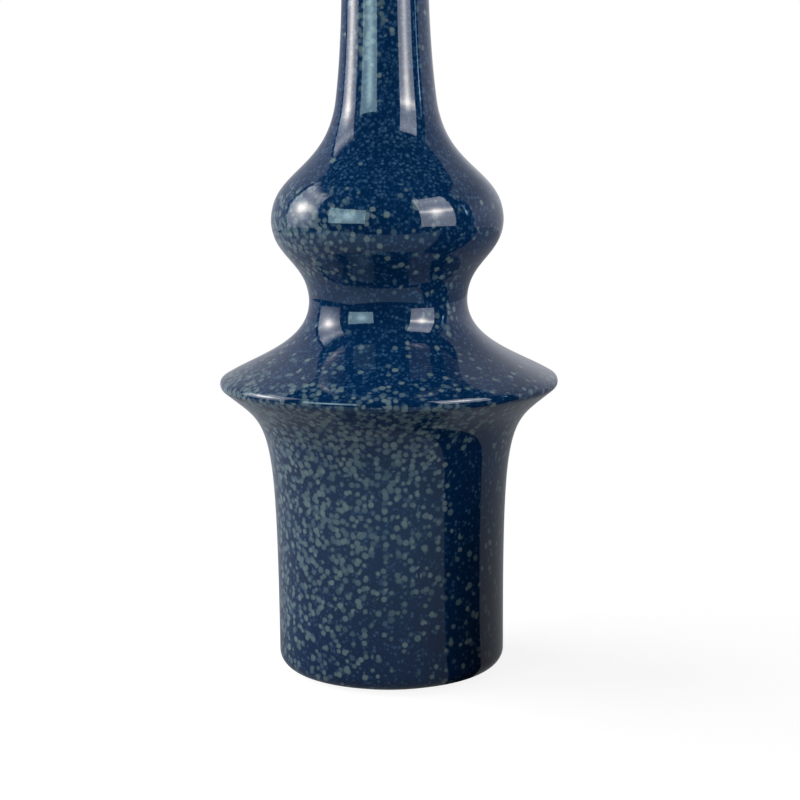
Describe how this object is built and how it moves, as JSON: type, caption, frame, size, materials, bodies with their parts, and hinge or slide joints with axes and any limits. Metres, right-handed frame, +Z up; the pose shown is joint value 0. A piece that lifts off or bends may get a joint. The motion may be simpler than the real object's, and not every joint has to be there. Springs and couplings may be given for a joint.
{
  "type": "ceramic vase",
  "caption": "Tall glazed vase: straight drum, wide sharp flange, narrow waist, onion-shaped bulb and long slender neck, built from luted rings on a turned foot ring.",
  "frame": {"origin": "centre of the foot ring's standing face", "axes": "+Z up along the vase's axis; X and Y are any two square directions in the standing face"},
  "size_m": [0.1678, 0.1678, 0.41],
  "materials": {
    "stoneware": "bare, fired, turned smooth",
    "slip": "bare, fired",
    "blue_glaze": "glossy dark blue with grey-green speckles",
    "liner_glaze": "glossy dark blue"
  },
  "bodies": {
    "root": {"floor_disc": "stoneware", "drum": "stoneware", "flare_dish": "stoneware", "shoulder_dish": "stoneware", "bulb_bowl": "stoneware", "bulb_dome": "stoneware", "neck": "stoneware", "foot_ring": "stoneware", "foot_slip": "slip", "floor_slip": "slip", "flare_slip": "slip", "flange_slip": "slip", "waist_slip": "slip", "bulb_slip": "slip", "neck_slip": "slip", "outer_glaze": "blue_glaze", "liner_glaze": "liner_glaze"}
  },
  "joints": []
}
